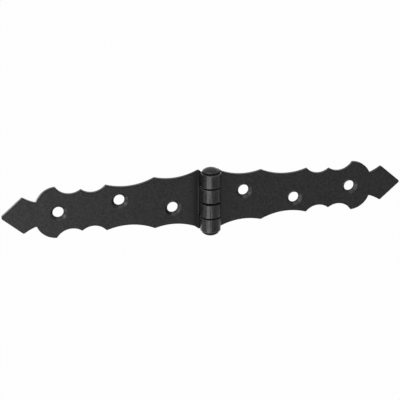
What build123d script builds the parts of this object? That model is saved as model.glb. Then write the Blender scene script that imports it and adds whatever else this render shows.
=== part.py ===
from build123d import *
import os
from math import acos, degrees, sqrt

# Decorative strap hinge, open flat. The pin's axis is Z, with the pin's head up.
# The leaves reach along X and their front faces look towards -Y. All sizes in mm.

# Sheet, pin and barrel
sheet_thickness = 2.0
pin_diameter = 5.8
pin_clearance = 0.05       # radial, between the pin and the rolled knuckles
seam_gap = 0.3             # between a roll's free end and the face of its own leaf
notch_clearance = 0.9      # radial, between a leaf's notches and the other leaf's knuckles
knuckle_length = 6.83      # of the middle knuckles; the outer ones run on to the root's edge
knuckle_overhang = 0.68    # of an outer knuckle's end, past the edge of its leaf's root
end_gap = 0.52             # axial, between an outer knuckle and its neighbour
centre_gap = 0.95          # axial, between the middle knuckles: the left leaf rides this much higher
knuckle_edge_bevel = 0.25

# Leaf outline, as stretches along the leaf from the root to the tip
waist_length = 21.64       # notch to first peak
root_land = 0.4            # straight run at the notch, before the waist curves in
shoulder_run = 1.9         # flare from the waist out to the end of the outer knuckle
shoulder_drop = 0.75
root_corner_bevel = 1.5    # at the root's corners, beside the other leaf's outer knuckle
hollow_length = 23.58      # first peak to second peak
inner_scallop_length = 11.67
outer_scallop_length = 12.14
lobe_length = 9.37         # lobe's peak to the neck
barb_length = 6.13         # neck to the barb's corner
point_length = 10.42       # barb's corner to the tip

# Full widths of the outline where the stretches meet
root_width = 28.9
first_peak_width = 25.54
second_peak_width = 22.64
small_peak_width = 20.6
lobe_width = 25.08
neck_width = 11.6
barb_width = 17.86

# Depths of the arcs between those places: hollows go in, the lobe bulges out
waist_depth = 1.97
hollow_depth = 2.33
inner_scallop_depth = 2.48
outer_scallop_depth = 2.73
lobe_bulge = 1.78
barb_hollow = 0.25
peak_round = 0.5           # in the outline, at the peaks and at the neck
point_round = 0.9          # in the outline, at the tip and the barb's corners
front_edge_bevel = 0.3     # along the front edge of the sheet

# Screw holes, each set back from a peak towards the pin
hole_diameter = 5.3
countersink_diameter = 8.0
countersink_angle = 100.0
inner_hole_set_back = 8.9
middle_hole_set_back = 6.44
outer_hole_set_back = 1.09
hole_stagger = 3.17        # of the inner and middle holes, off the leaf's centre line

# Pin ends
head_diameter = 8.1
head_rim_height = 0.7
head_dome_height = 1.5
head_gap = 0.4             # under the head, so that the top knuckle turns freely
tail_diameter = 7.9
tail_rim_height = 1.1
tail_dome_height = 1.5

# Derived sizes: the leaves' back faces and the back of the barrel share one plane
bore_radius = pin_diameter / 2 + pin_clearance
barrel_radius = bore_radius + sheet_thickness
notch_radius = barrel_radius + notch_clearance
notch_front = sqrt(notch_radius**2 - bore_radius**2)
notch_back = sqrt(notch_radius**2 - barrel_radius**2)
outer_knuckle_start = knuckle_length + centre_gap + end_gap
outer_knuckle_end = root_width / 2 + knuckle_overhang
barrel_height = 2 * outer_knuckle_end - centre_gap
leaf_centre = -centre_gap / 2


def leaf_plate():
    """The flat of the right leaf, with its outline, bevelled front edge, notches and screw holes."""
    first_peak = notch_front + waist_length
    second_peak = first_peak + hollow_length
    small_peak = second_peak + inner_scallop_length
    lobe_peak = small_peak + outer_scallop_length
    neck = lobe_peak + lobe_length
    barb = neck + barb_length
    tip = barb + point_length

    root_corner = (notch_back, root_width / 2 - root_corner_bevel)
    land_start = (notch_back + root_corner_bevel, root_width / 2)
    waist_start = (notch_front + root_land, root_width / 2)
    peaks = [
        (first_peak, first_peak_width / 2),
        (second_peak, second_peak_width / 2),
        (small_peak, small_peak_width / 2),
        (lobe_peak, lobe_width / 2),
    ]
    neck_corner = (neck, neck_width / 2)
    barb_corner = (barb, barb_width / 2)
    depths = [waist_depth, hollow_depth, inner_scallop_depth, outer_scallop_depth]

    upper_edge = Polyline(root_corner, land_start, waist_start)
    for start, end, depth in zip([waist_start] + peaks[:-1], peaks, depths):
        upper_edge += SagittaArc(start, end, -depth)
    upper_edge += SagittaArc(peaks[-1], neck_corner, lobe_bulge)
    upper_edge += SagittaArc(neck_corner, barb_corner, -barb_hollow)
    upper_edge += Line(barb_corner, (tip, 0))
    root_edge = Line((notch_back, -root_corner[1]), root_corner)
    outline = make_face(upper_edge + mirror(upper_edge, about=Plane.XZ) + root_edge)

    corners = outline.vertices().filter_by(lambda v: v.X > notch_front)
    sharp = corners.filter_by(lambda v: v.X > neck + peak_round)
    outline = fillet(corners - sharp, peak_round)
    sharp = outline.vertices().filter_by(lambda v: min(abs(v.X - barb), abs(v.X - tip)) < 0.01)
    outline = fillet(sharp, point_round)

    back = Plane.XZ.offset(-barrel_radius)
    plate = extrude(back * outline, amount=sheet_thickness)
    front_edges = plate.faces().sort_by(Axis.Y)[0].outer_wire().edges()
    plate = chamfer(front_edges.filter_by(lambda e: e.center().X > notch_back + 0.01), front_edge_bevel)
    plate -= Cylinder(notch_radius, 2 * root_width)

    front = Plane.XZ.offset(-bore_radius)
    holes = [
        (first_peak - inner_hole_set_back, hole_stagger),
        (second_peak - middle_hole_set_back, -hole_stagger),
        (lobe_peak - outer_hole_set_back, 0),
    ]
    for place in holes:
        plate -= front * Pos(*place) * CounterSinkHole(
            radius=hole_diameter / 2,
            counter_sink_radius=countersink_diameter / 2,
            depth=sheet_thickness,
            counter_sink_angle=countersink_angle,
        )
    return plate


def rolled_knuckle(start, end):
    """One knuckle of the right leaf: the sheet runs behind the pin and rolls round it to a seam."""
    seam_angle = 90 - degrees(acos((bore_radius - seam_gap) / barrel_radius))
    wrap = 270 + seam_angle
    outer = CenterArc((0, 0), barrel_radius, 90, wrap)
    inner = CenterArc((0, 0), bore_radius, 90, wrap)
    section = make_face(
        outer
        + inner
        + Line(outer @ 1, inner @ 1)
        + Polyline(inner @ 0, (notch_front, bore_radius), (notch_front, barrel_radius), outer @ 0)
    )
    knuckle = Pos(0, 0, start) * extrude(section, amount=end - start)
    rims = knuckle.edges().filter_by(GeomType.CIRCLE).filter_by(lambda e: abs(e.radius - barrel_radius) < 0.01)
    return chamfer(rims, knuckle_edge_bevel)


def knuckle_shoulder():
    """The flare of the leaf's edge from the waist out to the end of the outer knuckle."""
    waist_height = root_width / 2 - shoulder_drop
    flare = Polyline(
        (notch_back, waist_height),
        (notch_front + shoulder_run, waist_height),
        (notch_front, outer_knuckle_end),
        (notch_back, outer_knuckle_end),
        close=True,
    )
    return extrude(Plane.XZ.offset(-barrel_radius) * make_face(flare), amount=sheet_thickness)


def right_hand_leaf():
    """The whole stamping: an outer knuckle at the top of the root and an inner one below its centre."""
    leaf = leaf_plate() + knuckle_shoulder()
    leaf += rolled_knuckle(outer_knuckle_start, outer_knuckle_end)
    leaf += rolled_knuckle(-knuckle_length, 0)
    return Pos(0, 0, leaf_centre) * leaf


def headed_pin():
    """The pin, turned about Z: a domed, peened lower end, the shank and a domed head."""
    seat = barrel_height / 2 + head_gap
    foot = -barrel_height / 2
    rim_top = seat + head_rim_height
    crown = rim_top + head_dome_height
    tail_rim = foot - tail_rim_height
    tail_end = tail_rim - tail_dome_height
    pin_radius = pin_diameter / 2
    dome = TangentArc((0, crown), (head_diameter / 2, rim_top), tangent=(1, 0))
    peened = TangentArc((0, tail_end), (tail_diameter / 2, tail_rim), tangent=(1, 0))
    side = Polyline(
        peened @ 1,
        (tail_diameter / 2, foot),
        (pin_radius, foot),
        (pin_radius, seat),
        (head_diameter / 2, seat),
        dome @ 1,
    )
    half_section = make_face(dome + peened + side + Line(dome @ 0, peened @ 0))
    return revolve(Plane.XZ * half_section, Axis.Z)


right_leaf = right_hand_leaf()
left_leaf = right_leaf.rotate(Axis.Y, 180)
hinge_pin = headed_pin()

os.makedirs("parts", exist_ok=True)
export_step(left_leaf, "parts/left_leaf.step")
export_step(right_leaf, "parts/right_leaf.step")
export_step(hinge_pin, "parts/hinge_pin.step")
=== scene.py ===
from math import pi, radians

import bmesh
import bpy
from mathutils import Matrix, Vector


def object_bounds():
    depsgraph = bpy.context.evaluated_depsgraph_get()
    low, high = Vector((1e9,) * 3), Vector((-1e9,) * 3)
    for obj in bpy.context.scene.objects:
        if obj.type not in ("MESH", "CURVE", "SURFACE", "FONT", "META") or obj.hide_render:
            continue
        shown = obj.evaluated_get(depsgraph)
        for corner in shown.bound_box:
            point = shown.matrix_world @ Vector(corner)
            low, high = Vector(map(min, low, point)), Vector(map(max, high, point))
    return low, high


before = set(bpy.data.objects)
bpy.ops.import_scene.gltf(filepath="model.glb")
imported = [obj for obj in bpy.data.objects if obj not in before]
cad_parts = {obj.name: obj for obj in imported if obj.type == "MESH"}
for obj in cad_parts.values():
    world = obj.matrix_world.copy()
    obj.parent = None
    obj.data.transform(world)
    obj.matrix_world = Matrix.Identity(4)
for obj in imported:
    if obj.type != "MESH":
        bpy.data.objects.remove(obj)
cad_box = [list(corner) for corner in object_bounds()]


# The two leaves: one stamping used twice, cut from steel sheet to a scalloped edge with a spear
# tip, its screw holes countersunk and two knuckles rolled up from its root. The leaf is hung on
# a hook, sprayed with black powder and baked, which leaves a satin skin with a fine, even grain.
def powder_grain_group():
    """How baked powder varies over a surface: its colour, its gloss and its height in metres."""
    grain_detail, grain_roughness = 3.0, 0.6
    wave_detail = 1.0
    pit_grain, crest_grain = 0.36, 0.64
    dull_wave, glossy_wave = 0.3, 0.7
    inputs = {
        "Place": "NodeSocketVector",
        "Pit Colour": "NodeSocketColor",
        "Crest Colour": "NodeSocketColor",
        "Grains per Metre": "NodeSocketFloat",
        "Grain Height": "NodeSocketFloat",
        "Waves per Metre": "NodeSocketFloat",
        "Wave Height": "NodeSocketFloat",
        "Least Roughness": "NodeSocketFloat",
        "Most Roughness": "NodeSocketFloat",
    }
    outputs = {
        "Colour": "NodeSocketColor",
        "Roughness": "NodeSocketFloat",
        "Height": "NodeSocketFloat",
    }
    group = bpy.data.node_groups.new("powder_grain", "ShaderNodeTree")
    for socket, kind in inputs.items():
        group.interface.new_socket(socket, in_out="INPUT", socket_type=kind)
    for socket, kind in outputs.items():
        group.interface.new_socket(socket, in_out="OUTPUT", socket_type=kind)
    nodes, link = group.nodes, group.links.new
    given = nodes.new("NodeGroupInput").outputs
    put_out = nodes.new("NodeGroupOutput").inputs

    grain = nodes.new("ShaderNodeTexNoise")
    grain.inputs["Detail"].default_value = grain_detail
    grain.inputs["Roughness"].default_value = grain_roughness
    link(given["Place"], grain.inputs["Vector"])
    link(given["Grains per Metre"], grain.inputs["Scale"])

    # Slow waves in the coat's thickness and in the rolled sheet under it
    waves = nodes.new("ShaderNodeTexNoise")
    waves.inputs["Detail"].default_value = wave_detail
    link(given["Place"], waves.inputs["Vector"])
    link(given["Waves per Metre"], waves.inputs["Scale"])

    crest = nodes.new("ShaderNodeMapRange")
    crest.inputs["From Min"].default_value = pit_grain
    crest.inputs["From Max"].default_value = crest_grain
    link(grain.outputs["Fac"], crest.inputs["Value"])
    colour = nodes.new("ShaderNodeMix")
    colour.data_type = "RGBA"
    link(crest.outputs["Result"], colour.inputs["Factor"])
    link(given["Pit Colour"], colour.inputs["A"])
    link(given["Crest Colour"], colour.inputs["B"])
    link(colour.outputs["Result"], put_out["Colour"])

    gloss = nodes.new("ShaderNodeMapRange")
    gloss.inputs["From Min"].default_value = dull_wave
    gloss.inputs["From Max"].default_value = glossy_wave
    link(waves.outputs["Fac"], gloss.inputs["Value"])
    link(given["Most Roughness"], gloss.inputs["To Min"])
    link(given["Least Roughness"], gloss.inputs["To Max"])
    link(gloss.outputs["Result"], put_out["Roughness"])

    swell = nodes.new("ShaderNodeMath")
    swell.operation = "MULTIPLY"
    link(waves.outputs["Fac"], swell.inputs[0])
    link(given["Wave Height"], swell.inputs[1])
    height = nodes.new("ShaderNodeMath")
    height.operation = "MULTIPLY_ADD"
    link(grain.outputs["Fac"], height.inputs[0])
    link(given["Grain Height"], height.inputs[1])
    link(swell.outputs["Value"], height.inputs[2])
    link(height.outputs["Value"], put_out["Height"])
    return group


powder_grain = powder_grain_group()


def powder_coat(name, values):
    """A satin powder coat with the grain group's values for one kind of piece."""
    coat_index, coat_sheen = 1.5, 0.26
    coat = bpy.data.materials.new(name)
    coat.use_nodes = True
    nodes, link = coat.node_tree.nodes, coat.node_tree.links.new
    surface = nodes["Principled BSDF"]
    surface.inputs["IOR"].default_value = coat_index
    surface.inputs["Specular IOR Level"].default_value = coat_sheen

    coordinates = nodes.new("ShaderNodeTexCoord")
    grain = nodes.new("ShaderNodeGroup")
    grain.node_tree = powder_grain
    for socket, value in values.items():
        grain.inputs[socket].default_value = value
    link(coordinates.outputs["Object"], grain.inputs["Place"])
    link(grain.outputs["Colour"], surface.inputs["Base Color"])
    link(grain.outputs["Roughness"], surface.inputs["Roughness"])

    bump = nodes.new("ShaderNodeBump")
    bump.inputs["Distance"].default_value = 1.0
    link(grain.outputs["Height"], bump.inputs["Height"])
    link(bump.outputs["Normal"], surface.inputs["Normal"])
    return coat


def laid_over(coat, mask, colour, roughness):
    """Lays a second colour and roughness over a coat's own where the mask is one: painted shade or
    highlight.
    """
    nodes, link = coat.node_tree.nodes, coat.node_tree.links.new
    surface = nodes["Principled BSDF"].inputs
    under_colour = surface["Base Color"].links[0].from_socket
    under_roughness = surface["Roughness"].links[0].from_socket
    top_colour = nodes.new("ShaderNodeMix")
    top_colour.data_type = "RGBA"
    top_colour.inputs["B"].default_value = colour
    link(mask, top_colour.inputs["Factor"])
    link(under_colour, top_colour.inputs["A"])
    link(top_colour.outputs["Result"], surface["Base Color"])
    top_roughness = nodes.new("ShaderNodeMix")
    top_roughness.inputs["B"].default_value = roughness
    link(mask, top_roughness.inputs["Factor"])
    link(under_roughness, top_roughness.inputs["A"])
    link(top_roughness.outputs["Result"], surface["Roughness"])


def band(nodes, link, value, stops):
    """A mask that follows a value, which starts at zero, through stops of (value, mask)."""
    marks, masks = zip(*stops)
    reach = marks[-1]
    share = nodes.new("ShaderNodeMath")
    share.operation = "DIVIDE"
    share.inputs[1].default_value = reach
    link(value, share.inputs[0])
    ramp = nodes.new("ShaderNodeValToRGB")
    elements = ramp.color_ramp.elements
    for mark in marks[1:-1]:
        elements.new(mark / reach)
    for element, mask in zip(elements, masks):
        element.color = (mask, mask, mask, 1.0)
    link(share.outputs["Value"], ramp.inputs["Fac"])
    return ramp.outputs["Color"]


def joined(nodes, link, operation, first, second):
    """One mask from two, by MULTIPLY where both must hold or MAXIMUM where either will do."""
    step = nodes.new("ShaderNodeMath")
    step.operation = operation
    link(first, step.inputs[0])
    link(second, step.inputs[1])
    return step.outputs["Value"]


def along(nodes, link, place, direction):
    """How far a place lies, or a face looks, in one direction."""
    reach = nodes.new("ShaderNodeVectorMath")
    reach.operation = "DOT_PRODUCT"
    reach.inputs[1].default_value = direction
    link(place, reach.inputs[0])
    return reach.outputs["Value"]


def stretched(nodes, link, place, factors):
    """A place with each of its coordinates multiplied by a factor of its own."""
    stretch = nodes.new("ShaderNodeVectorMath")
    stretch.operation = "MULTIPLY"
    stretch.inputs[1].default_value = factors
    link(place, stretch.inputs[0])
    return stretch.outputs["Vector"]


leaf_coat = powder_coat(
    "leaf_powder_coat",
    {
        "Pit Colour": (0.0005, 0.0005, 0.0005, 1.0),
        "Crest Colour": (0.0137, 0.0137, 0.0141, 1.0),
        "Grains per Metre": 1100.0,
        "Grain Height": 0.000012,
        "Waves per Metre": 230.0,
        "Wave Height": 0.00007,
        "Least Roughness": 0.27,
        "Most Roughness": 0.37,
    },
)
left, front, back = (-1.0, 0.0, 0.0), (0.0, -1.0, 0.0), (0.0, 1.0, 0.0)
up, down = (0.0, 0.0, 1.0), (0.0, 0.0, -1.0)
level_only = (1.0, 1.0, 0.0)
nodes, link = leaf_coat.node_tree.nodes, leaf_coat.node_tree.links.new
place = nodes["Texture Coordinate"].outputs["Object"]
to_left = along(nodes, link, place, left)
to_back = along(nodes, link, place, back)
off_axis = nodes.new("ShaderNodeVectorMath")
off_axis.operation = "LENGTH"
link(stretched(nodes, link, place, level_only), off_axis.inputs[0])
from_pin = off_axis.outputs["Value"]
either_way = nodes.new("ShaderNodeMath")
either_way.operation = "ABSOLUTE"
link(along(nodes, link, place, up), either_way.inputs[0])
off_middle = either_way.outputs["Value"]

# Painted shade, dark and dull: in the slot beside the barrel, and in a broad band over the root
# of the left leaf.
painted_shade_colour = (0.0005, 0.0005, 0.0005, 1.0)
painted_shade_roughness = 0.9
slot_stops = [
    (0.0, 0.0), (0.00505, 0.0), (0.0054, 1.0), (0.0058, 1.0), (0.0061, 0.2), (0.0075, 0.0),
]
shade_stops = [
    (0.0, 0.0), (0.0050, 0.0), (0.0054, 0.4), (0.0058, 0.9), (0.0074, 0.75),
    (0.0081, 0.5), (0.0092, 0.35), (0.0120, 0.2), (0.0180, 0.0),
]
slot = band(nodes, link, from_pin, slot_stops)
shade = band(nodes, link, to_left, shade_stops)
painted_root_shade = joined(nodes, link, "MAXIMUM", slot, shade)
laid_over(leaf_coat, painted_root_shade, painted_shade_colour, painted_shade_roughness)

# Painted shade, too, between the knuckles and under the pin's head
deep_stops = [(0.0, 1.0), (0.0044, 1.0), (0.00465, 0.0), (0.012, 0.0)]
barrel_stops = [
    (0.0, 0.0), (0.00462, 0.0), (0.00475, 1.0), (0.005, 1.0), (0.0052, 0.0), (0.012, 0.0),
]
gap_stops = [
    (0.0, 1.0), (0.00052, 1.0), (0.0007, 0.0), (0.0071, 0.0), (0.00728, 1.0),
    (0.00785, 1.0), (0.0080, 0.0), (0.016, 0.0),
]
deep = band(nodes, link, from_pin, deep_stops)
on_barrel = band(nodes, link, from_pin, barrel_stops)
gaps = band(nodes, link, off_middle, gap_stops)
outer_gaps = joined(nodes, link, "MULTIPLY", gaps, on_barrel)
painted_gap_shade = joined(nodes, link, "MAXIMUM", deep, outer_gaps)
laid_over(leaf_coat, painted_gap_shade, painted_shade_colour, painted_shade_roughness)

# Painted shade on the bevels of the front edges and in the bores of the screw holes.
# The edges are found by the tilt of their bevel, the holes' bores by their place in the leaf.
bevel_tilt_stops = [(0.0, 0.0), (0.60, 0.0), (0.66, 1.0), (0.73, 1.0), (0.75, 0.0), (1.0, 0.0)]
off_barrel_stops = [(0.0, 0.0), (0.0056, 0.0), (0.0062, 1.0), (0.11, 1.0)]
bore_depth_stops = [
    (0.0, 0.0), (0.0040, 0.0), (0.0042, 1.0), (0.00488, 1.0), (0.00493, 0.0), (0.006, 0.0),
]
hole_row_stops = [(0.0, 1.0), (0.0066, 1.0), (0.0069, 0.0), (0.016, 0.0)]
hole_reach_stops = [
    (0.0, 0.0), (0.0080, 0.0), (0.0085, 1.0), (0.079, 1.0), (0.080, 0.0), (0.11, 0.0),
]
facing = nodes["Texture Coordinate"].outputs["Normal"]
bevel_tilt = band(nodes, link, along(nodes, link, facing, front), bevel_tilt_stops)
off_barrel = band(nodes, link, from_pin, off_barrel_stops)
front_edges = joined(nodes, link, "MULTIPLY", bevel_tilt, off_barrel)
bore_depth = band(nodes, link, to_back, bore_depth_stops)
hole_row = band(nodes, link, off_middle, hole_row_stops)
hole_reach = band(nodes, link, from_pin, hole_reach_stops)
hole_strip = joined(nodes, link, "MULTIPLY", hole_row, hole_reach)
bores = joined(nodes, link, "MULTIPLY", bore_depth, hole_strip)
painted_edge_and_bore_shade = joined(nodes, link, "MAXIMUM", front_edges, bores)
laid_over(leaf_coat, painted_edge_and_bore_shade, painted_shade_colour, painted_shade_roughness)

# Curling bends the sheet a little at a time and leaves narrow flats on the knuckles, along the pin
flats_per_metre = (900.0, 900.0, 130.0)
flat_detail = 1.0
flat_depth = 0.00025
flats = nodes.new("ShaderNodeTexNoise")
flats.inputs["Scale"].default_value = 1.0
flats.inputs["Detail"].default_value = flat_detail
link(stretched(nodes, link, place, flats_per_metre), flats.inputs["Vector"])
curled_height = nodes.new("ShaderNodeMath")
curled_height.operation = "MULTIPLY_ADD"
curled_height.inputs[1].default_value = flat_depth
link(joined(nodes, link, "MULTIPLY", flats.outputs["Fac"], on_barrel), curled_height.inputs[0])
bump_height = nodes["Bump"].inputs["Height"]
link(bump_height.links[0].from_socket, curled_height.inputs[2])
link(curled_height.outputs["Value"], bump_height)

# Painted highlights in patches, grey and smooth, on the knuckles' rims beside the gaps and at the
# barrel's two ends
painted_rim_highlight_colour = (0.065, 0.065, 0.066, 1.0)
painted_rim_highlight_roughness = 0.24
patches_per_metre = 350.0
patch_starts, patch_is_full = 0.38, 0.6
rim_stops = [
    (0.0, 0.0), (0.00062, 0.0), (0.00072, 1.0), (0.0010, 0.0),
    (0.00675, 0.0), (0.00705, 1.0), (0.00716, 0.0),
    (0.00797, 0.0), (0.00807, 1.0), (0.0084, 0.0),
    (0.0141, 0.0), (0.0144, 1.0), (0.0149, 1.0), (0.0152, 0.0), (0.016, 0.0),
]
patches = nodes.new("ShaderNodeTexNoise")
patches.inputs["Scale"].default_value = patches_per_metre
link(place, patches.inputs["Vector"])
patch_share = nodes.new("ShaderNodeMapRange")
patch_share.inputs["From Min"].default_value = patch_starts
patch_share.inputs["From Max"].default_value = patch_is_full
link(patches.outputs["Fac"], patch_share.inputs["Value"])
rims = band(nodes, link, off_middle, rim_stops)
barrel_rims = joined(nodes, link, "MULTIPLY", rims, on_barrel)
painted_rim_highlights = joined(nodes, link, "MULTIPLY", barrel_rims, patch_share.outputs["Result"])
laid_over(leaf_coat, painted_rim_highlights, painted_rim_highlight_colour, painted_rim_highlight_roughness)

# A painted highlight, lighter and smoother, along the edge of the left leaf beside the two middle
# knuckles
painted_edge_highlight_colour = (0.028, 0.028, 0.0285, 1.0)
painted_edge_highlight_roughness = 0.35
edge_stops = [
    (0.0, 0.0), (0.00498, 0.0), (0.00505, 1.0), (0.0053, 1.0), (0.0056, 0.0), (0.012, 0.0),
]
middle_stops = [(0.0, 1.0), (0.0070, 1.0), (0.0076, 0.0), (0.016, 0.0)]
left_edge = band(nodes, link, to_left, edge_stops)
beside_middle = band(nodes, link, off_middle, middle_stops)
painted_edge_highlight = joined(nodes, link, "MULTIPLY", left_edge, beside_middle)
laid_over(leaf_coat, painted_edge_highlight, painted_edge_highlight_colour, painted_edge_highlight_roughness)
for leaf in ("left_leaf", "right_leaf"):
    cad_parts[leaf].material_slots[0].material = leaf_coat


# The hinge pin: turned steel wire with a domed head, driven down through the four knuckles and
# peened over under the lowest one. It carries the same powder, a little paler, as painted light on
# the dome.
pin_coat = powder_coat(
    "pin_powder_coat",
    {
        "Pit Colour": (0.010, 0.010, 0.010, 1.0),
        "Crest Colour": (0.036, 0.036, 0.0366, 1.0),
        "Grains per Metre": 1300.0,
        "Grain Height": 0.000012,
        "Waves per Metre": 300.0,
        "Wave Height": 0.00007,
        "Least Roughness": 0.25,
        "Most Roughness": 0.35,
    },
)
nodes, link = pin_coat.node_tree.nodes, pin_coat.node_tree.links.new
place = nodes["Texture Coordinate"].outputs["Object"]

# Painted shade on the peened lower end: dark and rough
painted_end_shade_colour = (0.001, 0.001, 0.001, 1.0)
painted_end_shade_roughness = 0.85
hammered_stops = [(0.0, 0.0), (0.0149, 0.0), (0.0154, 1.0), (0.018, 1.0)]
painted_end_shade = band(nodes, link, along(nodes, link, place, down), hammered_stops)
laid_over(pin_coat, painted_end_shade, painted_end_shade_colour, painted_end_shade_roughness)

# Painted shade on the shank, the underside of the head and the foot of its rim
shank_shade_stops = [(0.0, 1.0), (0.0153, 1.0), (0.0157, 0.0), (0.018, 0.0)]
painted_shank_shade = band(nodes, link, along(nodes, link, place, up), shank_shade_stops)
laid_over(pin_coat, painted_shank_shade, painted_shade_colour, painted_shade_roughness)
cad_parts["hinge_pin"].material_slots[0].material = pin_coat


# The floor: a wide sheet of white studio paper, well below the hinge. The camera, and the gloss
# of the coat, see it as the same white as the backdrop, and the hinge's soft shadow falls on it.
floor_drop = 0.7
floor_half_width = 6.0
sheet = bmesh.new()
bmesh.ops.create_grid(sheet, x_segments=1, y_segments=1, size=floor_half_width)
bmesh.ops.translate(sheet, verts=sheet.verts, vec=(0.0, 0.0, cad_box[0][2] - floor_drop))
floor_mesh = bpy.data.meshes.new("studio_floor")
sheet.to_mesh(floor_mesh)
sheet.free()
floor = bpy.data.objects.new("studio_floor", floor_mesh)
bpy.context.scene.collection.objects.link(floor)

white = (1.0, 1.0, 1.0, 1.0)
paper_colour = (0.85, 0.85, 0.85, 1.0)
paper_roughness = 0.9
paper_sheen = 0.1
paper_brightness = 1.015
shadow_share = 0.03
paper = bpy.data.materials.new("studio_paper")
paper.use_nodes = True
nodes, link = paper.node_tree.nodes, paper.node_tree.links.new
matt_paper = nodes["Principled BSDF"]
matt_paper.inputs["Base Color"].default_value = paper_colour
matt_paper.inputs["Roughness"].default_value = paper_roughness
matt_paper.inputs["Specular IOR Level"].default_value = paper_sheen
bright_paper = nodes.new("ShaderNodeEmission")
bright_paper.inputs["Color"].default_value = white
bright_paper.inputs["Strength"].default_value = paper_brightness


def seen_ray(nodes, link):
    """One for rays that see a white surround, from camera, gloss or glass, and zero for light."""
    path = nodes.new("ShaderNodeLightPath").outputs
    gloss_or_glass = joined(
        nodes, link, "MAXIMUM", path["Is Glossy Ray"], path["Is Transmission Ray"]
    )
    return joined(nodes, link, "MAXIMUM", path["Is Camera Ray"], gloss_or_glass)


bright_share = nodes.new("ShaderNodeMath")
bright_share.operation = "MULTIPLY"
bright_share.inputs[1].default_value = 1.0 - shadow_share
link(seen_ray(nodes, link), bright_share.inputs[0])
paper_mix = nodes.new("ShaderNodeMixShader")
link(bright_share.outputs["Value"], paper_mix.inputs["Fac"])
link(matt_paper.outputs["BSDF"], paper_mix.inputs[1])
link(bright_paper.outputs["Emission"], paper_mix.inputs[2])
link(paper_mix.outputs["Shader"], nodes["Material Output"].inputs["Surface"])
floor_mesh.materials.append(paper)


# The light: a pale surround and six soft boxes. The key one stands in front on the left and draws
# the bright line down the barrel, with one above and one below it for the countersinks. A low one
# lifts the left leaf's tip, a high one the top edges, and a broad one the back of the leaves.
lamps = {
    "key_soft_box": {"azimuth": -37.0, "elevation": -20.0, "size": (0.62, 0.60), "radiance": 5.8},
    "side_soft_box": {"azimuth": -78.0, "elevation": -42.0, "size": (0.42, 0.42), "radiance": 3.6},
    "upper_soft_box": {"azimuth": -59.0, "elevation": 20.0, "size": (0.66, 0.60), "radiance": 4.6},
    "low_soft_box": {"azimuth": -8.0, "elevation": -24.0, "size": (0.45, 0.40), "radiance": 1.5},
    "high_soft_box": {"azimuth": 4.0, "elevation": 55.0, "size": (0.85, 0.45), "radiance": 2.2},
    "back_soft_box": {"azimuth": 212.0, "elevation": -6.0, "size": (0.80, 0.60), "radiance": 2.0},
}
lamp_distance = 1.0
for name, lamp in lamps.items():
    light = bpy.data.lights.new(name, "AREA")
    light.shape = "RECTANGLE"
    light.size, light.size_y = lamp["size"]
    light.energy = lamp["radiance"] * pi * light.size * light.size_y
    soft_box = bpy.data.objects.new(name, light)
    soft_box.visible_camera = False
    turn = Matrix.Rotation(radians(lamp["azimuth"]), 4, "Z")
    tilt = Matrix.Rotation(radians(90.0 - lamp["elevation"]), 4, "X")
    soft_box.matrix_world = turn @ tilt @ Matrix.Translation((0.0, 0.0, lamp_distance))
    bpy.context.scene.collection.objects.link(soft_box)

surround_level = 0.05
backdrop_level = 1.0
world = bpy.data.worlds.new("studio")
bpy.context.scene.world = world
world.use_nodes = True
nodes, link = world.node_tree.nodes, world.node_tree.links.new
surround = nodes["Background"]
surround.inputs["Color"].default_value = white
surround_strength = nodes.new("ShaderNodeMapRange")
surround_strength.inputs["To Min"].default_value = surround_level
surround_strength.inputs["To Max"].default_value = backdrop_level
link(seen_ray(nodes, link), surround_strength.inputs["Value"])
link(surround_strength.outputs["Result"], surround.inputs["Strength"])
bpy.context.scene.view_settings.view_transform = "Standard"


# The camera: a long lens in front on the left, looking down a little on the open hinge, with its
# horizon tilted by less than half a degree.
camera_place = (-0.162926, -0.539085, 0.219188)
camera_yaw = radians(16.298)
camera_pitch = radians(21.209)
camera_roll = radians(0.4)
film_width = 36.0
focal_length = 113.554
lens = bpy.data.cameras.new("camera")
lens.sensor_width = film_width
lens.lens = focal_length
camera = bpy.data.objects.new("camera", lens)
camera.matrix_world = (
    Matrix.Translation(camera_place)
    @ Matrix.Rotation(-camera_yaw, 4, "Z")
    @ Matrix.Rotation(radians(90) - camera_pitch, 4, "X")
    @ Matrix.Rotation(camera_roll, 4, "Z")
)
bpy.context.scene.collection.objects.link(camera)
bpy.context.scene.camera = camera
